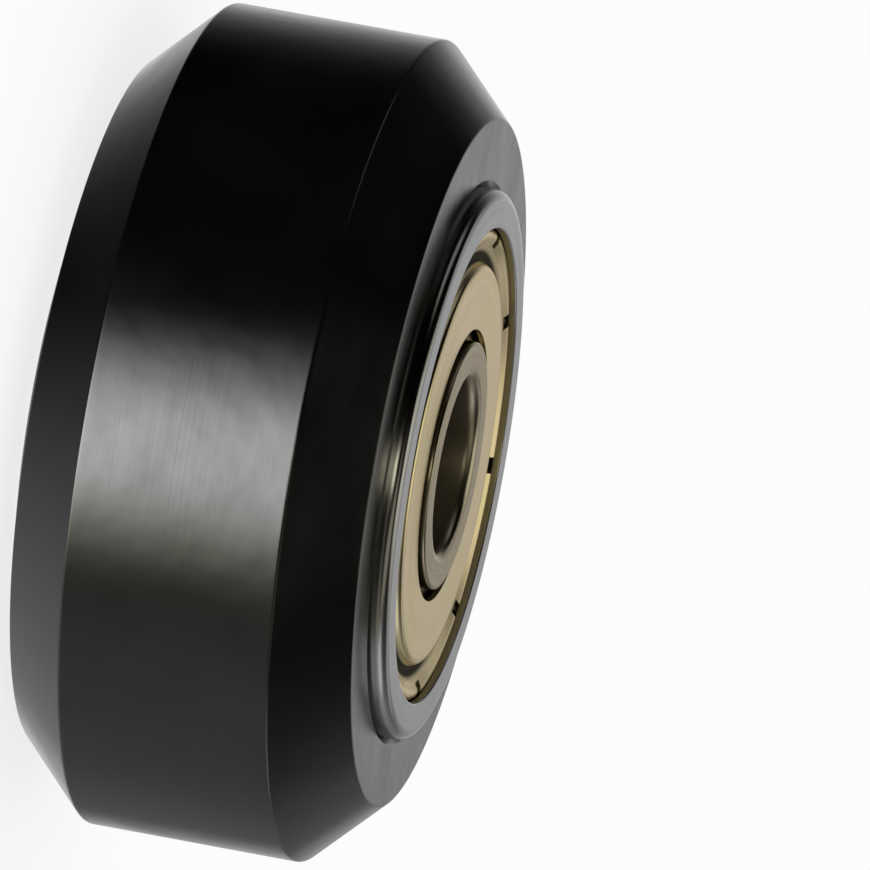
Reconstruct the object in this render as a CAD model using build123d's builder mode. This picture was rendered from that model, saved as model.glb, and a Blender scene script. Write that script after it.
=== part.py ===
from build123d import *
import os

# Roller wheel for the carriage of a desktop printer: a bevelled acetal tyre that turns on two
# shielded ball bearings, with a spacer washer between their inner rings.
# The axle runs along +Z, and the origin is the middle of the wheel. Sizes are in millimetres.

# Wheel body
face_wall = 2.0
bevel = 1.95
bearing_proud = 0.5
tread_edge_radius = 0.12
face_edge_radius = 0.1
rib_width = 1.0
rib_height = 1.0
seat_clearance = 0.01
seat_lead_in = 0.2
seat_corner_radius = 0.15

# Ball bearing, rings
bearing_bore = 5.0
bearing_diameter = 16.0
bearing_width = 5.0
ring_corner_radius = 0.3
lip_wall = 1.1
lip_thickness = 0.24
lip_chamfer = 0.04
crimp_groove_width = 0.45
crimp_groove_depth = 0.2
inner_face_wall = 1.1
inner_edge_chamfer = 0.08

# Ball bearing, balls and raceways
ball_diameter = 2.778
ball_count = 7
ball_clearance = 0.03
race_conformity = 0.522
race_depth = 0.45

# Ball bearing, shields: one sheet, pressed into a flat disc, a valley, a gentle rise to a crown
# and an edge that is crimped down into the ring's groove
sheet = 0.15
shield_bore_gap = 0.35
shield_step_gap = 0.15
disc_depth = 0.2
valley_depth = 0.53
valley_slope = 0.14
valley_width = 0.19
crown_rise = 0.57
crown_width = 0.13
shield_bend_radius = 0.11
crimp_clearance = 0.02
notch_count = 9
notch_width = 0.48
notch_length = 0.7
notch_start_angle = 11.6

# Ball bearing, cage
cage_width = 1.45
cage_sheet = 0.15
pocket_clearance = 0.06
rivet_diameter = 0.5
rivet_hole_clearance = 0.02
rivet_head_diameter = 0.8
rivet_head_height = 0.2
rivet_head_round = 0.15

# Spacer washer
spacer_diameter = 10.0
spacer_bore_clearance = 0.02
spacer_chamfer = 0.1

# Sizes that follow from the ones above
outer_radius = bearing_diameter / 2
bore_radius = bearing_bore / 2
face_radius = outer_radius + face_wall
tread_radius = face_radius + bevel
seat_radius = outer_radius + seat_clearance
rib_radius = outer_radius - rib_height
half_rib = rib_width / 2
half_body = half_rib + bearing_width - bearing_proud
half_bearing = bearing_width / 2
bearing_middle = half_rib + half_bearing
pitch_radius = (bore_radius + outer_radius) / 2
ball_radius = ball_diameter / 2
race_radius = race_conformity * ball_diameter
outer_race_floor = pitch_radius + ball_radius + ball_clearance
inner_race_floor = pitch_radius - ball_radius - ball_clearance
outer_land_radius = outer_race_floor - race_depth
inner_land_radius = inner_race_floor + race_depth
lip_radius = outer_radius - lip_wall
groove_radius = lip_radius + crimp_groove_depth
recess_depth = lip_thickness + crimp_groove_width
inner_face_radius = bore_radius + inner_face_wall
inner_step_depth = disc_depth + sheet / 2 + shield_step_gap
ball_spacing = 360 / ball_count

# Centre line of the shield's sheet, from its bore out to the edge that is crimped in the groove
crown_outer = lip_radius - sheet
crown_inner = crown_outer - crown_width
valley_outer = crown_inner - crown_rise
valley_inner = valley_outer - valley_width
shield_line = [
    (inner_face_radius + shield_bore_gap, disc_depth),
    (valley_inner - valley_slope, disc_depth),
    (valley_inner, valley_depth),
    (valley_outer, valley_depth),
    (crown_inner, lip_thickness),
    (crown_outer, lip_thickness),
    (groove_radius - crimp_clearance - sheet / 2, recess_depth - sheet / 2 - crimp_clearance),
]

os.makedirs("parts", exist_ok=True)


def save(piece, name):
    piece.part.label = name
    export_step(piece.part, f"parts/{name}.step")


# Wheel body: bevels, tread, a bearing seat in each face and the rib that parts the bearings
with BuildPart() as wheel_body:
    with BuildSketch(Plane.XZ) as tyre:
        with BuildLine():
            Polyline(
                (rib_radius, -half_body),
                (face_radius, -half_body),
                (tread_radius, bevel - half_body),
                (tread_radius, half_body - bevel),
                (face_radius, half_body),
                (rib_radius, half_body),
                close=True,
            )
        make_face()
        fillet(tyre.vertices().group_by(Axis.X)[-1], tread_edge_radius)
        for face_end in (tyre.vertices().group_by(Axis.Y)[-1], tyre.vertices().group_by(Axis.Y)[0]):
            fillet(face_end.sort_by(Axis.X)[-1], face_edge_radius)
        with Locations((rib_radius, half_body), (rib_radius, -half_body)):
            Rectangle(
                2 * (seat_radius - rib_radius), 2 * (half_body - half_rib), mode=Mode.SUBTRACT
            )
        seat_floors = tyre.vertices().filter_by_position(Axis.X, seat_radius, seat_radius)
        fillet(seat_floors.sort_by(Axis.Y)[1:-1], seat_corner_radius)
        chamfer(seat_floors.sort_by(Axis.Y)[::3], seat_lead_in)
    revolve(axis=Axis.Z)
save(wheel_body, "wheel_body")

# Spacer washer, as thick as the rib, between the two inner rings
with BuildPart() as bearing_spacer:
    with BuildSketch(Plane.XY.offset(-half_rib)):
        Circle(spacer_diameter / 2)
        Circle(bore_radius + spacer_bore_clearance, mode=Mode.SUBTRACT)
    extrude(amount=rib_width)
    chamfer(bearing_spacer.edges().filter_by(GeomType.CIRCLE), spacer_chamfer)
save(bearing_spacer, "bearing_spacer")

for end, outward in (("front", 1), ("rear", -1)):
    middle = outward * bearing_middle
    section = Plane(origin=(0, 0, middle), x_dir=(1, 0, 0), z_dir=(0, -1, 0))
    level = Plane.XY.offset(middle)

    # Outer ring: raceway inside, and at each side a recess with a groove for the shield's crimp
    with BuildPart() as outer_ring:
        with BuildSketch(section) as ring:
            with Locations((outer_land_radius, 0)):
                Rectangle(
                    outer_radius - outer_land_radius,
                    bearing_width,
                    align=(Align.MIN, Align.CENTER),
                )
            fillet(ring.vertices().group_by(Axis.X)[-1], ring_corner_radius)
            with Locations((outer_land_radius, half_bearing), (outer_land_radius, -half_bearing)):
                Rectangle(
                    2 * (lip_radius - outer_land_radius), 2 * recess_depth, mode=Mode.SUBTRACT
                )
            lips = ring.vertices().group_by(Axis.Y)[-1].sort_by(Axis.X)[:1]
            lips += ring.vertices().group_by(Axis.Y)[0].sort_by(Axis.X)[:1]
            chamfer(lips, lip_chamfer)
            groove_middle = half_bearing - lip_thickness - crimp_groove_width / 2
            with Locations((lip_radius, groove_middle), (lip_radius, -groove_middle)):
                Rectangle(2 * crimp_groove_depth, crimp_groove_width, mode=Mode.SUBTRACT)
            with Locations((outer_race_floor - race_radius, 0)):
                Circle(race_radius, mode=Mode.SUBTRACT)
        revolve(axis=Axis.Z)
    save(outer_ring, f"{end}_outer_ring")

    # Inner ring: raceway outside, stepped down at each face to pass inside the shields
    with BuildPart() as inner_ring:
        with BuildSketch(section) as ring:
            with Locations((bore_radius, 0)):
                Rectangle(
                    inner_land_radius - bore_radius,
                    bearing_width,
                    align=(Align.MIN, Align.CENTER),
                )
            fillet(ring.vertices().group_by(Axis.X)[0], ring_corner_radius)
            with Locations((inner_land_radius, half_bearing), (inner_land_radius, -half_bearing)):
                Rectangle(
                    2 * (inner_land_radius - inner_face_radius),
                    2 * inner_step_depth,
                    mode=Mode.SUBTRACT,
                )
            rims = ring.vertices().group_by(Axis.Y)[-1].sort_by(Axis.X)[-1:]
            rims += ring.vertices().group_by(Axis.Y)[0].sort_by(Axis.X)[-1:]
            chamfer(rims, inner_edge_chamfer)
            with Locations((inner_race_floor + race_radius, 0)):
                Circle(race_radius, mode=Mode.SUBTRACT)
        revolve(axis=Axis.Z)
    save(inner_ring, f"{end}_inner_ring")

    # Shields: the outboard one shows at the wheel's face, the inboard one faces the rib
    for place, facing in (("outboard", outward), ("inboard", -outward)):
        with BuildPart() as shield:
            with BuildSketch(section):
                with BuildLine() as sheet_line:
                    FilletPolyline(
                        *[(r, facing * (half_bearing - depth)) for r, depth in shield_line],
                        radius=shield_bend_radius,
                    )
                trace(line_width=sheet)
            revolve(axis=Axis.Z)
            with BuildSketch(level):
                with PolarLocations(groove_radius, notch_count, start_angle=notch_start_angle):
                    Rectangle(2 * notch_length, notch_width)
            extrude(amount=half_bearing, both=True, mode=Mode.SUBTRACT)
        save(shield, f"{end}_{place}_shield")

    # Cage: two pressed ribbons with half a pocket round each ball, riveted between the balls
    for half, way in (("upper", 1), ("lower", -1)):
        with BuildPart(level) as cage:
            with PolarLocations(pitch_radius, ball_count):
                Sphere(ball_radius + pocket_clearance + cage_sheet)
            with BuildSketch(level):
                Circle(pitch_radius + cage_width / 2)
                Circle(pitch_radius - cage_width / 2, mode=Mode.SUBTRACT)
            extrude(amount=way * half_bearing, mode=Mode.INTERSECT)
            with BuildSketch(level):
                Circle(pitch_radius + cage_width / 2)
                Circle(pitch_radius - cage_width / 2, mode=Mode.SUBTRACT)
            extrude(amount=way * cage_sheet)
            with PolarLocations(pitch_radius, ball_count):
                Sphere(ball_radius + pocket_clearance, mode=Mode.SUBTRACT)
            with BuildSketch(level):
                with PolarLocations(pitch_radius, ball_count, start_angle=ball_spacing / 2):
                    Circle(rivet_diameter / 2 + rivet_hole_clearance)
            extrude(amount=way * cage_sheet, mode=Mode.SUBTRACT)
        save(cage, f"{end}_cage_{half}")

    # Rivets of one cage, with domed heads on both ribbons
    with BuildPart() as rivets:
        with BuildSketch(level):
            with PolarLocations(pitch_radius, ball_count, start_angle=ball_spacing / 2):
                Circle(rivet_diameter / 2)
        extrude(amount=cage_sheet, both=True)
        for way in (1, -1):
            with BuildSketch(level.offset(way * cage_sheet)):
                with PolarLocations(pitch_radius, ball_count, start_angle=ball_spacing / 2):
                    Circle(rivet_head_diameter / 2)
            extrude(amount=way * rivet_head_height)
        head_rims = rivets.edges().group_by(Axis.Z)
        fillet(head_rims[0] + head_rims[-1], rivet_head_round)
    save(rivets, f"{end}_cage_rivets")

    # Balls
    for number in range(ball_count):
        with BuildPart(level) as ball:
            with PolarLocations(pitch_radius, 1, start_angle=number * ball_spacing):
                Sphere(ball_radius)
        save(ball, f"{end}_ball_{number + 1}")
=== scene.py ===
import bpy
import bmesh
import math
from mathutils import Matrix, Vector


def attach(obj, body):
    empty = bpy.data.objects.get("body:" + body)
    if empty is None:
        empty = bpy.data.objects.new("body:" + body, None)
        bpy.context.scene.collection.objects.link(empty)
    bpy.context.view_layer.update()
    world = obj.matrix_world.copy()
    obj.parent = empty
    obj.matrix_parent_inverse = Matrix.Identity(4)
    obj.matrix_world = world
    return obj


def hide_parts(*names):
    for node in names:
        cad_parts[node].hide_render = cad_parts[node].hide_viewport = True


# Roller wheel on two shielded ball bearings. The turned and pressed pieces are lathed here from
# their own outlines; the cages, rivets and balls are the frame's own, with better finishes.

mm = 0.001
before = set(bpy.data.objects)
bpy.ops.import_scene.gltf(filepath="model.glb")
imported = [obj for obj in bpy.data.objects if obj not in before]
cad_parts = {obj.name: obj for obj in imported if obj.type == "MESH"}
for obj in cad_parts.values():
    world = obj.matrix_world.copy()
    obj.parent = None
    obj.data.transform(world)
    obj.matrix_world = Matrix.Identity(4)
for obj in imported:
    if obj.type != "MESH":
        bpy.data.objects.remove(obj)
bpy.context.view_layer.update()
print("frame loaded:", len(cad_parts), "nodes")


def linearColour(hexCode):
    channels = []
    for place in (0, 2, 4):
        level = int(hexCode[place:place + 2], 16) / 255
        channels.append(level / 12.92 if level <= 0.04045 else ((level + 0.055) / 1.055) ** 2.4)
    return (*channels, 1.0)


def addNode(tree, kind, settings=None, inputs=None):
    # inputs go by name or place; a socket is linked and anything else is set as the value
    node = tree.nodes.new(kind)
    for key, value in (settings or {}).items():
        setattr(node, key, value)
    for key, value in (inputs or {}).items():
        if isinstance(value, bpy.types.NodeSocket):
            tree.links.new(value, node.inputs[key])
        else:
            node.inputs[key].default_value = value
    return node


def newTree(material):
    material.use_nodes = True
    material.node_tree.nodes.clear()
    return material.node_tree


def rampColours(node, stops):
    ramp = node.color_ramp
    while len(ramp.elements) < len(stops):
        ramp.elements.new(1.0)
    for element, (place, colour) in zip(ramp.elements, stops):
        element.position = place
        element.color = colour
    return node


def grey(level):
    return (level, level, level, 1.0)


def ease(tree, value, low, high):
    # 0 at low and 1 at high, smooth between them
    return addNode(tree, "ShaderNodeMapRange", {"interpolation_type": "SMOOTHSTEP"}, {
        "Value": value, "From Min": low, "From Max": high}).outputs[0]


def combine(tree, operation, first, second=0.0):
    return addNode(tree, "ShaderNodeMath", {"operation": operation},
                   {0: first, 1: second}).outputs[0]


def roundOff(corners, steps=6, hold=0.05):
    # a corner is (radius, height, rounding) in mm; each rounding gets an arc, and a short straight
    # on both sides of it that keeps the flats flat when they are shaded smooth
    count = len(corners)
    points = [Vector(corner[:2]) for corner in corners]
    reaches = []
    for i, corner in enumerate(corners):
        toBefore = (points[i - 1] - points[i]).normalized()
        toAfter = (points[(i + 1) % count] - points[i]).normalized()
        half = toBefore.angle(toAfter) / 2
        reaches.append((toBefore, toAfter, half, corner[2] / math.tan(half) if corner[2] else 0.0))
    outline = []
    for i, corner in enumerate(corners):
        toBefore, toAfter, half, reach = reaches[i]
        here = points[i]
        if not corner[2]:
            outline.append(here)
            continue
        roomBefore = (points[i - 1] - here).length - reach - reaches[i - 1][3]
        roomAfter = (points[(i + 1) % count] - here).length - reach - reaches[(i + 1) % count][3]
        centre = here + (toBefore + toAfter).normalized() * corner[2] / math.sin(half)
        spoke = here + toBefore * reach - centre
        sweep = spoke.angle_signed(here + toAfter * reach - centre)
        outline.append(here + toBefore * (reach + min(hold, roomBefore / 3)))
        for step in range(steps + 1):
            turned = spoke.copy()
            turned.rotate(Matrix.Rotation(-sweep * step / steps, 2))
            outline.append(centre + turned)
        outline.append(here + toAfter * (reach + min(hold, roomAfter / 3)))
    return outline


def flipped(corners):
    # the same corners below the middle, in the order that carries the outline on
    return [(radius, -height, rounding) for radius, height, rounding in corners[::-1]]


def thicken(line, thickness):
    # the outline of a sheet that follows a centre line
    left, right = [], []
    for i, point in enumerate(line):
        along = (line[min(i + 1, len(line) - 1)] - line[max(i - 1, 0)]).normalized()
        across = Vector((-along.y, along.x)) * thickness / 2
        left.append(point + across)
        right.append(point - across)
    return left + right[::-1]


pathRadius = 1.0  # mm, the circle that a profile is swept round; profiles are shifted in by it
smoothUpTo = 35  # degrees; an edge that turns more than this stays sharp


def latheTree(name, notched=False):
    tree = bpy.data.node_groups.new(name, "GeometryNodeTree")
    sockets = [("Profile", "NodeSocketGeometry"), ("Segments", "NodeSocketInt"),
               ("Path Radius", "NodeSocketFloat"), ("Finish", "NodeSocketMaterial")]
    if notched:
        sockets += [("Notch Count", "NodeSocketInt"), ("Notch Width", "NodeSocketFloat"),
                    ("Notch Reach", "NodeSocketFloat"), ("Notch Radius", "NodeSocketFloat"),
                    ("Notch Height", "NodeSocketFloat"), ("First Notch", "NodeSocketFloat")]
    for label, kind in sockets:
        tree.interface.new_socket(label, in_out="INPUT", socket_type=kind)
    tree.interface.new_socket("Piece", in_out="OUTPUT", socket_type="NodeSocketGeometry")
    given = addNode(tree, "NodeGroupInput").outputs
    circle = addNode(tree, "GeometryNodeCurvePrimitiveCircle", inputs={
        "Resolution": given["Segments"], "Radius": given["Path Radius"]})
    swept = addNode(tree, "GeometryNodeCurveToMesh", inputs={
        "Curve": circle.outputs["Curve"], "Profile Curve": given["Profile"]}).outputs["Mesh"]
    if notched:
        size = addNode(tree, "ShaderNodeCombineXYZ", inputs={
            "X": given["Notch Reach"], "Y": given["Notch Width"], "Z": given["Notch Height"]})
        cutter = addNode(tree, "GeometryNodeMeshCube", inputs={"Size": size.outputs[0]})
        places = addNode(tree, "GeometryNodeMeshCircle", inputs={
            "Vertices": given["Notch Count"], "Radius": given["Notch Radius"]})
        index = addNode(tree, "GeometryNodeInputIndex")
        share = addNode(tree, "ShaderNodeMath", {"operation": "DIVIDE"},
                        {0: index.outputs[0], 1: given["Notch Count"]})
        angle = addNode(tree, "ShaderNodeMath", {"operation": "MULTIPLY"},
                        {0: share.outputs[0], 1: 2 * math.pi})
        turn = addNode(tree, "ShaderNodeCombineXYZ", inputs={"Z": angle.outputs[0]})
        cutters = addNode(tree, "GeometryNodeInstanceOnPoints", inputs={
            "Points": places.outputs["Mesh"], "Instance": cutter.outputs["Mesh"],
            "Rotation": turn.outputs[0]})
        start = addNode(tree, "ShaderNodeCombineXYZ", inputs={"Z": given["First Notch"]})
        turned = addNode(tree, "GeometryNodeTransform", inputs={
            "Geometry": cutters.outputs[0], "Rotation": start.outputs[0]})
        solid = addNode(tree, "GeometryNodeRealizeInstances", inputs={0: turned.outputs[0]})
        swept = addNode(tree, "GeometryNodeMeshBoolean",
                        {"operation": "DIFFERENCE", "solver": "EXACT"},
                        {"Mesh 1": swept, "Mesh 2": solid.outputs[0]}).outputs["Mesh"]
    real = addNode(tree, "GeometryNodeRealizeInstances", inputs={0: swept})
    dressed = addNode(tree, "GeometryNodeSetMaterial", inputs={
        "Geometry": real.outputs[0], "Material": given["Finish"]})
    addNode(tree, "NodeGroupOutput", inputs={0: dressed.outputs[0]})
    return tree


def lathe(name, outline, tree, values, body, node):
    # outline in mm, counter-clockwise; the result is one closed mesh that stands for the node
    curve = bpy.data.curves.new(name + "Profile", "CURVE")
    curve.dimensions = "3D"
    spline = curve.splines.new("POLY")
    spline.points.add(len(outline) - 1)
    for point, (radius, height) in zip(spline.points, outline):
        point.co = ((radius - pathRadius) * mm, -height * mm, 0.0, 1.0)
    spline.use_cyclic_u = True
    draft = bpy.data.objects.new(name + "Draft", curve)
    bpy.context.collection.objects.link(draft)
    modifier = draft.modifiers.new("lathe", "NODES")
    modifier.node_group = tree
    values = {"Path Radius": pathRadius * mm, **values}
    for socket in tree.interface.items_tree:
        if socket.in_out == "INPUT" and socket.name in values:
            modifier[socket.identifier] = values[socket.name]
    graph = bpy.context.evaluated_depsgraph_get()
    mesh = bpy.data.meshes.new_from_object(draft.evaluated_get(graph), depsgraph=graph)
    draft.modifiers.remove(modifier)
    bpy.data.objects.remove(draft)
    bpy.data.curves.remove(curve)
    shell = bmesh.new()
    shell.from_mesh(mesh)
    bmesh.ops.recalc_face_normals(shell, faces=shell.faces)
    for face in shell.faces:
        face.smooth = True
    shell.to_mesh(mesh)
    shell.free()
    mesh.set_sharp_from_angle(angle=math.radians(smoothUpTo))
    mesh.name = name
    piece = bpy.data.objects.new(name, mesh)
    bpy.context.collection.objects.link(piece)
    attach(piece, body)
    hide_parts(node)
    return piece


def millimetres(tree):
    place = addNode(tree, "ShaderNodeTexCoord")
    return addNode(tree, "ShaderNodeVectorMath", {"operation": "SCALE"},
                   {0: place.outputs["Object"], "Scale": 1 / mm}).outputs[0]


noiseSpan = (0.3, 0.7)  # most of a noise's values lie between these
fineStretch = 0.05  # how much a turned mark changes on its way round; more breaks it up


def turnedPlace(tree, place, stretch=fineStretch):
    # (distance from the axle, height, a little of the way round): noise on it runs round the piece
    parts = addNode(tree, "ShaderNodeSeparateXYZ", inputs={0: place})
    flat = addNode(tree, "ShaderNodeCombineXYZ", inputs={
        "X": parts.outputs["X"], "Y": parts.outputs["Y"]})
    distance = addNode(tree, "ShaderNodeVectorMath", {"operation": "LENGTH"}, {0: flat.outputs[0]})
    angle = addNode(tree, "ShaderNodeMath", {"operation": "ARCTAN2"},
                    {0: parts.outputs["Y"], 1: parts.outputs["X"]})
    wave = addNode(tree, "ShaderNodeMath", {"operation": "SINE"}, {0: angle.outputs[0]})
    around = addNode(tree, "ShaderNodeMath", {"operation": "MULTIPLY"},
                     {0: wave.outputs[0], 1: stretch})
    return addNode(tree, "ShaderNodeCombineXYZ", inputs={
        "X": distance.outputs["Value"], "Y": parts.outputs["Z"], "Z": around.outputs[0]}).outputs[0]


acetal = {"low": "040405", "high": "080809", "roughness": (0.17, 0.24), "ior": 1.48,
          "specular": 1.0, "clouds": 0.35, "toolPitch": 0.11, "grain": 0.05, "grainShare": 0.35,
          "marks": 0.006, "marksStrength": 0.25, "waveLength": 1.7, "waves": 0.014,
          "wavesStrength": 1.0}


def turnedAcetal():
    # black acetal, turned: satin and almost black, with fine rings from the tool that soften the
    # reflections along the axle, and a faint waviness that clouds them
    material = bpy.data.materials.new("turnedBlackAcetal")
    tree = newTree(material)
    place = millimetres(tree)
    rolled = turnedPlace(tree, place)
    cloud = addNode(tree, "ShaderNodeTexNoise", inputs={
        "Vector": place, "Scale": acetal["clouds"], "Detail": 3.0})
    shade = rampColours(addNode(tree, "ShaderNodeValToRGB", inputs={0: cloud.outputs[0]}), [
        (noiseSpan[0], linearColour(acetal["low"])), (noiseSpan[1], linearColour(acetal["high"]))])
    rings = addNode(tree, "ShaderNodeTexNoise", inputs={
        "Vector": rolled, "Scale": 1 / acetal["toolPitch"], "Detail": 2.0, "Roughness": 0.6})
    grain = addNode(tree, "ShaderNodeTexNoise", inputs={
        "Vector": place, "Scale": 1 / acetal["grain"], "Detail": 2.0})
    gloss = addNode(tree, "ShaderNodeMapRange", inputs={
        "Value": cloud.outputs[0], "From Min": noiseSpan[0], "From Max": noiseSpan[1],
        "To Min": acetal["roughness"][0], "To Max": acetal["roughness"][1]})
    relief = addNode(tree, "ShaderNodeMix", {"data_type": "FLOAT"},
                     {0: acetal["grainShare"], 2: rings.outputs[0], 3: grain.outputs[0]})
    waves = addNode(tree, "ShaderNodeTexNoise", inputs={
        "Vector": place, "Scale": 1 / acetal["waveLength"], "Detail": 2.0})
    wavy = addNode(tree, "ShaderNodeBump", inputs={
        "Strength": acetal["wavesStrength"], "Distance": acetal["waves"] * mm,
        "Height": waves.outputs[0]})
    bump = addNode(tree, "ShaderNodeBump", inputs={
        "Strength": acetal["marksStrength"], "Distance": acetal["marks"] * mm,
        "Height": relief.outputs[0], "Normal": wavy.outputs[0]})
    shader = addNode(tree, "ShaderNodeBsdfPrincipled", inputs={
        "Base Color": shade.outputs[0], "Roughness": gloss.outputs[0], "Normal": bump.outputs[0],
        "IOR": acetal["ior"], "Specular IOR Level": acetal["specular"]})
    addNode(tree, "ShaderNodeOutputMaterial", inputs={0: shader.outputs[0]})
    return material


metalMarks = 0.3  # strength of the marks' bump
plainClouds = 0.5  # clouds to the millimetre
spotsPlace = 0.48  # where on the ramp a third colour lies
boreFade = 0.1  # mm over which a honed bore turns into the ground face


def turnedMetal(name, look):
    # pitch is the spacing of the marks that run round the piece and marks their depth, both in mm;
    # a recess and its rim are (0 at, 1 at), in mm of height from the bearing's middle and of
    # radius, and mark where shade is painted
    material = bpy.data.materials.new(name)
    tree = newTree(material)
    place = millimetres(tree)
    rolled = turnedPlace(tree, place, look.get("stretch", fineStretch))
    cloud = addNode(tree, "ShaderNodeTexNoise", inputs={
        "Vector": place, "Scale": look.get("clouds", plainClouds), "Detail": 3.0})
    stops = [(noiseSpan[0], linearColour(look["low"])), (noiseSpan[1], linearColour(look["high"]))]
    if "spots" in look:
        stops[1:1] = [(spotsPlace, linearColour(look["spots"]))]
    shade = rampColours(addNode(tree, "ShaderNodeValToRGB", inputs={0: cloud.outputs[0]}),
                        stops).outputs[0]
    rings = addNode(tree, "ShaderNodeTexNoise", inputs={
        "Vector": rolled, "Scale": 1 / look["pitch"], "Detail": 3.0, "Roughness": 0.6})
    gloss = addNode(tree, "ShaderNodeMapRange", inputs={
        "Value": rings.outputs[0], "From Min": noiseSpan[0], "From Max": noiseSpan[1],
        "To Min": look["roughness"][0], "To Max": look["roughness"][1]}).outputs[0]
    parts = addNode(tree, "ShaderNodeSeparateXYZ", inputs={0: rolled})
    metal = 1.0
    if "bore" in look:
        honed = addNode(tree, "ShaderNodeMapRange", inputs={
            "Value": parts.outputs["X"], "From Min": look["bore"],
            "From Max": look["bore"] + boreFade, "To Min": look["boreRoughness"], "To Max": 0.0})
        gloss = combine(tree, "ADD", gloss, honed.outputs[0])
    # inside a recess the colour is painted darker and the surface made less metallic: painted shade
    # where less light reaches
    if "recess" in look:
        # height above the middle of whichever bearing the point belongs to
        height = combine(tree, "ABSOLUTE", combine(
            tree, "SUBTRACT", combine(tree, "ABSOLUTE", parts.outputs["Y"]), look["middle"]))
        paintedShadeMask = ease(tree, height, *look["recess"])
        if "recessRim" in look:
            inside = ease(tree, parts.outputs["X"], *look["recessRim"])
            paintedShadeMask = combine(tree, "MULTIPLY", paintedShadeMask, inside)
        shade = addNode(tree, "ShaderNodeMix", {"data_type": "RGBA"}, {
            0: paintedShadeMask, 6: shade, 7: linearColour(look["recessColour"])}).outputs[2]
        gloss = combine(tree, "ADD", gloss,
                        combine(tree, "MULTIPLY", paintedShadeMask, look["recessRoughness"]))
        metal = combine(tree, "SUBTRACT", 1.0,
                        combine(tree, "MULTIPLY", paintedShadeMask, look["recessOil"]))
    bump = addNode(tree, "ShaderNodeBump", inputs={
        "Strength": metalMarks, "Distance": look["marks"] * mm, "Height": rings.outputs[0]})
    shader = addNode(tree, "ShaderNodeBsdfPrincipled", inputs={
        "Base Color": shade, "Roughness": gloss, "Normal": bump.outputs[0], "Metallic": metal,
        "Specular Tint": linearColour(look["edge"])})
    addNode(tree, "ShaderNodeOutputMaterial", inputs={0: shader.outputs[0]})
    return material


acetalFinish = turnedAcetal()

# chrome bearing steel, ground: light grey with faint rings; inside the lips it is painted browner,
# darker and less metallic, as painted shade in the recess
ringSteel = {"low": "AFAFB1", "high": "BABABB", "edge": "ECECEC", "roughness": (0.16, 0.24),
             "pitch": 0.06, "marks": 0.0015, "middle": 3.0, "recess": (2.475, 2.44),
             # the recess colour and the cut in metal are painted shade inside the lips
             "recessRim": (6.95, 6.91), "recessColour": "978C68", "recessRoughness": 0.1,
             "recessOil": 0.3}
ringFinish = turnedMetal("groundBearingSteel", ringSteel)

# the inner ring, ground the same way, keeps a brown film of oil, and its honed bore is duller
innerSteel = {"low": "B6AD9A", "high": "C0B9AA", "edge": "E2DACB", "roughness": (0.18, 0.28),
              "pitch": 0.06, "marks": 0.0012, "bore": 2.5, "boreRoughness": 0.15}
innerFinish = turnedMetal("oiledBearingSteel", innerSteel)

# zinc plated sheet, yellow passivated and pressed: pale champagne with olive and pink clouds; the
# valley beside the rim is painted dark and not metallic, and made dull, as painted shade
shieldSheet = {"low": "E6DCAE", "high": "EFDCC2", "spots": "EBDCB4", "clouds": 0.45,
               "edge": "F9F0E0", "roughness": (0.18, 0.26), "pitch": 0.14, "marks": 0.001,
               # the dark valley colour and the full cut in metal are painted shade in the valley
               # beside the rim
               "middle": 3.0, "recess": (2.22, 2.1), "recessColour": "2A2210",
               "recessRoughness": 0.65, "recessOil": 1.0}
shieldFinish = turnedMetal("passivatedPressedSheet", shieldSheet)

# soft steel strip, pressed: a duller, browner grey than the rings
cageStrip = {"low": "A39E95", "high": "B7B2AA", "edge": "D8D5CF", "roughness": (0.32, 0.42),
             "pitch": 0.2, "marks": 0.002, "stretch": 0.8}
cageFinish = turnedMetal("pressedStripSteel", cageStrip)

# bearing steel, lapped: almost a mirror
ballSteel = {"low": "C8C9CC", "high": "D4D5D7", "edge": "EEEEEE", "roughness": (0.05, 0.09),
             "pitch": 0.12, "marks": 0.0002, "stretch": 2.0}
ballFinish = turnedMetal("lappedBallSteel", ballSteel)

# steel washer, ground flat
washerSteel = {"low": "B5B5B4", "high": "C4C4C3", "edge": "E4E4E4", "roughness": (0.26, 0.34),
               "pitch": 0.07, "marks": 0.0015}
spacerFinish = turnedMetal("groundWasherSteel", washerSteel)
print("finishes made")


turnTree = latheTree("turnedPiece")
notchTree = latheTree("notchedShield", notched=True)

tyre = {"tread": 11.95, "face": 10.0, "halfWidth": 5.0, "bevel": 1.95, "seat": 8.01, "rib": 7.0,
        "halfRib": 0.5, "treadEdge": 0.12, "faceEdge": 0.1, "seatCorner": 0.15, "leadIn": 0.2,
        "edgeBreak": 0.03, "segments": 288}
flatHalf = tyre["halfWidth"] - tyre["bevel"]
upper = [(tyre["tread"], flatHalf, tyre["treadEdge"]),
         (tyre["face"], tyre["halfWidth"], tyre["faceEdge"]),
         (tyre["seat"] + tyre["leadIn"], tyre["halfWidth"], tyre["edgeBreak"]),
         (tyre["seat"], tyre["halfWidth"] - tyre["leadIn"], tyre["edgeBreak"]),
         (tyre["seat"], tyre["halfRib"], tyre["seatCorner"]),
         (tyre["rib"], tyre["halfRib"], tyre["edgeBreak"])]
lathe("acetalTyre", roundOff(upper + flipped(upper)), turnTree,
      {"Segments": tyre["segments"], "Finish": acetalFinish}, "wheel", "wheel_body")

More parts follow.
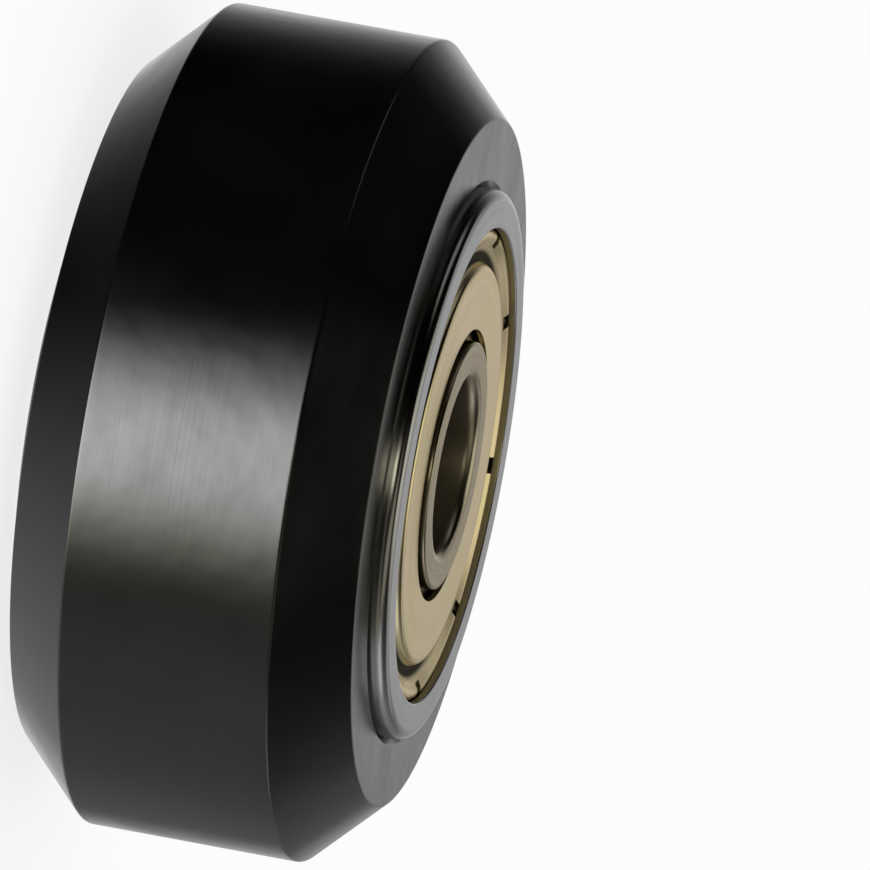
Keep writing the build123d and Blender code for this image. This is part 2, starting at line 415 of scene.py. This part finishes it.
washer = {"outer": 5.0, "bore": 2.52, "halfThickness": 0.5, "edge": 0.1, "edgeSteps": 4,
          "segments": 160}
washerCorners = [(washer["outer"], -washer["halfThickness"], washer["edge"]),
                 (washer["outer"], washer["halfThickness"], washer["edge"]),
                 (washer["bore"], washer["halfThickness"], washer["edge"]),
                 (washer["bore"], -washer["halfThickness"], washer["edge"])]
lathe("spacerWasher", roundOff(washerCorners, steps=washer["edgeSteps"]), turnTree,
      {"Segments": washer["segments"], "Finish": spacerFinish},
      "hub", "bearing_spacer")

bearing = {"middle": 3.0, "half": 2.5, "bore": 2.5, "outer": 8.0, "corner": 0.3, "lip": 6.9,
           "lipEdge": 0.04, "lipThickness": 0.24, "groove": 7.1, "recess": 0.69, "outerLand": 6.219,
           "outerRace": 5.219, "innerFace": 3.6, "innerStep": 0.425, "innerLand": 4.281,
           "innerRace": 5.281, "innerEdge": 0.08, "raceRadius": 1.45, "edgeBreak": 0.03,
           "balls": 7, "segments": 240}


def raceway(centre, land, steps=14):
    # points of the groove that the balls run in, from its upper edge to the lower one
    edge = math.acos((land - centre) / bearing["raceRadius"])
    angles = [edge - 2 * edge * step / steps for step in range(steps + 1)]
    return [(centre + bearing["raceRadius"] * math.cos(angle),
             bearing["raceRadius"] * math.sin(angle), 0.0) for angle in angles]


def outerRingOutline():
    ring = bearing
    lipSide = [(ring["lip"], ring["half"], ring["lipEdge"]),
               (ring["lip"], ring["half"] - ring["lipThickness"], ring["edgeBreak"]),
               (ring["groove"], ring["half"] - ring["lipThickness"], ring["edgeBreak"]),
               (ring["groove"], ring["half"] - ring["recess"], ring["edgeBreak"]),
               (ring["outerLand"], ring["half"] - ring["recess"], ring["edgeBreak"])]
    outside = [(ring["outer"], -ring["half"], ring["corner"]),
               (ring["outer"], ring["half"], ring["corner"])]
    race = raceway(ring["outerRace"], ring["outerLand"])
    return roundOff(outside + lipSide + race + flipped(lipSide))


def innerRingOutline():
    ring = bearing
    stepSide = [(ring["innerLand"], ring["half"] - ring["innerStep"], ring["edgeBreak"]),
                (ring["innerFace"], ring["half"] - ring["innerStep"], ring["edgeBreak"]),
                (ring["innerFace"], ring["half"], ring["innerEdge"]),
                (ring["bore"], ring["half"], ring["corner"])]
    across = 2 * ring["innerRace"]  # turns the groove round, to open outwards
    race = [(across - radius, height, rounding) for radius, height, rounding
            in raceway(ring["innerRace"], across - ring["innerLand"])]
    return roundOff(flipped(stepSide) + race[::-1] + stepSide)


shield = {"sheet": 0.15, "bend": 0.11, "bore": 3.95, "disc": 0.2, "discEdge": 5.72,
          "valleyFrom": 5.86, "valleyTo": 6.05, "valleyDepth": 0.53, "crownFrom": 6.62,
          "crownTo": 6.75, "crownDepth": 0.24, "rim": 7.005, "rimDepth": 0.595, "bendSteps": 5,
          "straight": 0.03, "segments": 216, "notches": 9, "notchWidth": 0.48, "notchRadius": 7.1,
          "notchLength": 0.7, "firstNotch": 11.6, "cutterHeight": 12.0}


def shieldOutline(facing):
    sheet = shield
    line = [(sheet["bore"], sheet["disc"], 0),
            (sheet["discEdge"], sheet["disc"], sheet["bend"]),
            (sheet["valleyFrom"], sheet["valleyDepth"], sheet["bend"]),
            (sheet["valleyTo"], sheet["valleyDepth"], sheet["bend"]),
            (sheet["crownFrom"], sheet["crownDepth"], sheet["bend"]),
            (sheet["crownTo"], sheet["crownDepth"], sheet["bend"]),
            (sheet["rim"], sheet["rimDepth"], 0)]
    line = roundOff(line, steps=sheet["bendSteps"], hold=sheet["straight"])
    outline = thicken(line, sheet["sheet"])
    return [(radius, facing * (bearing["half"] - depth)) for radius, depth in outline]


def lift(outline, rise):
    return [(radius, height + rise) for radius, height in outline]


for end, side in (("front", 1), ("rear", -1)):
    middle = side * bearing["middle"]
    lathe(end + "OuterRing", lift(outerRingOutline(), middle), turnTree,
          {"Segments": bearing["segments"], "Finish": ringFinish},
          "wheel", end + "_outer_ring")
    lathe(end + "InnerRing", lift(innerRingOutline(), middle), turnTree,
          {"Segments": bearing["segments"], "Finish": innerFinish},
          "hub", end + "_inner_ring")
    for place, facing in (("Outboard", side), ("Inboard", -side)):
        lathe(f"{end}{place}Shield", lift(shieldOutline(facing), middle), notchTree,
              {"Segments": shield["segments"], "Finish": shieldFinish,
               "Notch Count": shield["notches"], "Notch Width": shield["notchWidth"] * mm,
               "Notch Reach": 2 * shield["notchLength"] * mm,
               "Notch Radius": shield["notchRadius"] * mm,
               "Notch Height": shield["cutterHeight"] * mm,
               "First Notch": math.radians(shield["firstNotch"])},
              "wheel", f"{end}_{place.lower()}_shield")
    finishes = {f"{end}_cage_{piece}": cageFinish for piece in ("upper", "lower", "rivets")}
    finishes |= {f"{end}_ball_{number + 1}": ballFinish for number in range(bearing["balls"])}
    for node, finish in finishes.items():
        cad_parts[node].data.materials.clear()
        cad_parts[node].data.materials.append(finish)
print("pieces made")


stage = {"floorSize": 4.0, "floorHeight": -5.5, "floorColour": "F2F2F2", "backgroundShare": 0.8}


def paleFloor():
    material = bpy.data.materials.new("palePaperFloor")
    tree = newTree(material)
    rays = addNode(tree, "ShaderNodeLightPath")
    lit = addNode(tree, "ShaderNodeBsdfDiffuse", inputs={
        "Color": linearColour(stage["floorColour"])})
    white = addNode(tree, "ShaderNodeEmission", inputs={"Strength": 1.0})
    share = addNode(tree, "ShaderNodeMath", {"operation": "MULTIPLY"},
                    {0: rays.outputs["Is Camera Ray"], 1: stage["backgroundShare"]})
    mixed = addNode(tree, "ShaderNodeMixShader", inputs={
        0: share.outputs[0], 1: lit.outputs[0], 2: white.outputs[0]})
    addNode(tree, "ShaderNodeOutputMaterial", inputs={0: mixed.outputs[0]})
    mesh = bpy.data.meshes.new("floor")
    half = stage["floorSize"] / 2
    height = stage["floorHeight"] * mm
    mesh.from_pydata([(-half, -half, height), (half, -half, height), (half, half, height),
                      (-half, half, height)], [], [(0, 1, 2, 3)])
    mesh.materials.append(material)
    floor = bpy.data.objects.new("floor", mesh)
    bpy.context.collection.objects.link(floor)
    floor.visible_glossy = False  # reflections see the studio, so the tread keeps its soft band


# directions are (x, y, z) on the unit sphere; each edge of a light is (dark end, bright end). The
# table's heights are (place on the ramp from straight down to straight up, brightness), and it is
# dimmed at its back and front and above, from the first number on and fully at the second
studio = {"plain": 1.0,
          "backdrop": {"towards": (0.0, 0.998, 0.05), "strength": 0.47, "focus": 12.0},
          "sweep": {"towards": (0.0, 0.93, -0.37), "strength": 0.86, "focus": 8.0},
          "rightSide": {"share": 0.35, "x": (-0.03, 0.06), "z": (-0.4, -0.1)},
          "table": {"heights": ((0.275, 0.63), (0.41, 0.27), (0.6, 0.36), (0.75, 0.16),
                                (0.875, 0.05), (0.97, 0.0)),
                    "x": (-0.3, 0.53), "back": (0.7, 0.95), "backShare": 0.35,
                    "front": (-0.2, -0.8), "frontShare": 0.5,
                    "above": (0.0, 0.15), "aboveFront": (0.1, -0.9)},
          "overhead": {"strength": 0.95, "left": (-0.34, -0.16), "right": (0.42, 0.12),
                       "near": (-0.1, 0.05), "low": (0.5, 0.88), "colour": "F5F0DA"},
          "canopy": {"strength": 0.5, "left": (-0.45, -0.3), "right": (0.45, 0.3),
                     "near": (0.5, 0.7), "low": (0.3, 0.45), "high": (0.8, 0.6)},
          "rightWall": {"strength": 0.75, "left": (0.7, 0.9), "near": (-0.35, 0.0),
                        "far": (0.6, 0.4), "low": (0.02, 0.14), "high": (0.6, 0.45)},
          "leftWall": {"strength": 0.3, "right": (-0.6, -0.85), "near": (-0.5, -0.2),
                       "far": (0.6, 0.3), "low": (0.2, 0.33), "high": (0.6, 0.45)},
          "front": {"strength": 0.4, "left": (-0.2, 0.25), "near": (-0.85, -0.6),
                    "far": (-0.1, -0.35), "low": (0.3, 0.5), "high": (0.95, 0.8),
                    "colour": "F2EACC", "tint": (-0.05, -0.3), "tintLow": (-0.12, 0.0)},
          "card": {"strength": 1.9, "left": (-0.08, 0.04), "right": (0.28, 0.18),
                   "far": (0.0, -0.4), "low": (-0.1, 0.02), "high": (0.3, 0.2)},
          "softbox": {"strength": 6.6, "left": (-0.45, 0.13), "right": (0.74, 0.2),
                      "far": (0.0, -0.4), "high": (-0.09, -0.2), "low": (-0.75, -0.55),
                      "edgeColour": "F3F1DC", "tint": (0.3, 0.6), "tintFront": (-0.45, -0.65)}}


def studioWorld():
    # camera and diffuse rays see plain white; reflections see a studio: a backdrop and its sweep
    # behind the wheel, a pale table on the +X side, a strip overhead and a canopy behind it, a
    # softbox in front just below the horizon, a small card above it, and dim walls
    world = bpy.data.worlds.new("studio")
    bpy.context.scene.world = world
    world.use_nodes = True
    tree = world.node_tree
    tree.nodes.clear()
    world.cycles.sampling_method = "NONE"
    rays = addNode(tree, "ShaderNodeLightPath")
    way = addNode(tree, "ShaderNodeTexCoord").outputs["Generated"]
    parts = addNode(tree, "ShaderNodeSeparateXYZ", inputs={0: way})
    x, y, z = (parts.outputs[axis] for axis in "XYZ")
    axes = {"left": x, "right": x, "near": y, "far": y, "low": z, "high": z}

    def patch(strength, *edges):
        level = strength
        for value, (dark, bright) in edges:
            level = combine(tree, "MULTIPLY", ease(tree, value, dark, bright), level)
        return level

    def panel(name):
        # a light with the edges that its values name
        look = studio[name]
        return patch(look["strength"], *[(axes[edge], look[edge]) for edge in axes if edge in look])

    def lobe(look):
        # a soft light round one direction
        toward = addNode(tree, "ShaderNodeVectorMath", {"operation": "DOT_PRODUCT"}, {
            0: way, 1: look["towards"]}).outputs["Value"]
        falling = combine(tree, "POWER", combine(tree, "MAXIMUM", toward, 0.0), look["focus"])
        return combine(tree, "MULTIPLY", falling, look["strength"])

    def dimmed(light, share, *edges):
        return combine(tree, "MULTIPLY", light,
                       combine(tree, "SUBTRACT", 1.0, patch(share, *edges)))

    def tinted(colour, hexCode, *edges):
        return addNode(tree, "ShaderNodeMix", {"data_type": "RGBA"}, {
            0: patch(1.0, *edges), 6: colour, 7: linearColour(hexCode)}).outputs[2]

    shadeSide = studio["rightSide"]
    glow = combine(tree, "ADD", lobe(studio["backdrop"]), lobe(studio["sweep"]))
    glow = dimmed(glow, shadeSide["share"], (x, shadeSide["x"]), (z, shadeSide["z"]))

    look = studio["table"]
    height = addNode(tree, "ShaderNodeMapRange", inputs={"Value": z, "From Min": -1.0}).outputs[0]
    table = rampColours(addNode(tree, "ShaderNodeValToRGB", inputs={0: height}), [
        (place, grey(level)) for place, level in look["heights"]]).outputs[0]
    table = combine(tree, "MULTIPLY", table, ease(tree, x, *look["x"]))
    table = dimmed(table, look["backShare"], (y, look["back"]))
    table = dimmed(table, look["frontShare"], (y, look["front"]))
    table = dimmed(table, 1.0, (z, look["above"]), (y, look["aboveFront"]))

    total = panel("overhead")
    for light in [glow, table] + [panel(name) for name in (
            "canopy", "rightWall", "leftWall", "front", "card")]:
        total = combine(tree, "MAXIMUM", total, light)
    total = combine(tree, "ADD", total, panel("softbox"))

    # the overhead strip is a warm white, the front above the softbox is olive, and so is the
    # softbox towards its +X edge
    overhead, front, softbox = studio["overhead"], studio["front"], studio["softbox"]
    colour = tinted(grey(1.0), overhead["colour"], (y, overhead["near"]), (z, overhead["low"]))
    colour = tinted(colour, front["colour"], (y, front["tint"]), (z, front["tintLow"]))
    colour = tinted(colour, softbox["edgeColour"], (x, softbox["tint"]), (y, softbox["tintFront"]))
    reflected = addNode(tree, "ShaderNodeBackground", inputs={"Color": colour, "Strength": total})
    plain = addNode(tree, "ShaderNodeBackground", inputs={
        "Color": grey(1.0), "Strength": studio["plain"]})
    mixed = addNode(tree, "ShaderNodeMixShader", inputs={
        0: rays.outputs["Is Glossy Ray"], 1: plain.outputs[0], 2: reflected.outputs[0]})
    addNode(tree, "ShaderNodeOutputWorld", inputs={0: mixed.outputs[0]})


# The photo looks at the wheel from 10.3 degrees above its near side, with the axle almost level
# in the picture, so the camera is rolled on its side. The long lens keeps the photo's flat look.
view = {"lens": 827.6, "sensor": 36.0, "right": (-0.1782, 0.1763, 0.9681),
        "down": (0.9840, 0.0319, 0.1753), "place": (-0.777, -562.475, 107.148),
        "nearest": 0.01, "farthest": 5.0}  # the last two in metres, the place in mm


def placeCamera():
    data = bpy.data.cameras.new("photoCamera")
    data.lens = view["lens"]
    data.sensor_width = view["sensor"]
    data.clip_start = view["nearest"]
    data.clip_end = view["farthest"]
    camera = bpy.data.objects.new("photoCamera", data)
    bpy.context.collection.objects.link(camera)
    right = Vector(view["right"]).normalized()
    up = -Vector(view["down"])
    up = (up - right * up.dot(right)).normalized()
    back = right.cross(up)
    turn = Matrix((right, up, back)).transposed().to_4x4()
    camera.matrix_world = Matrix.Translation(Vector(view["place"]) * mm) @ turn
    bpy.context.scene.camera = camera


paleFloor()
studioWorld()
placeCamera()
bpy.context.scene.view_settings.view_transform = "Standard"
print("stage, light and camera made")

bpy.context.view_layer.update()
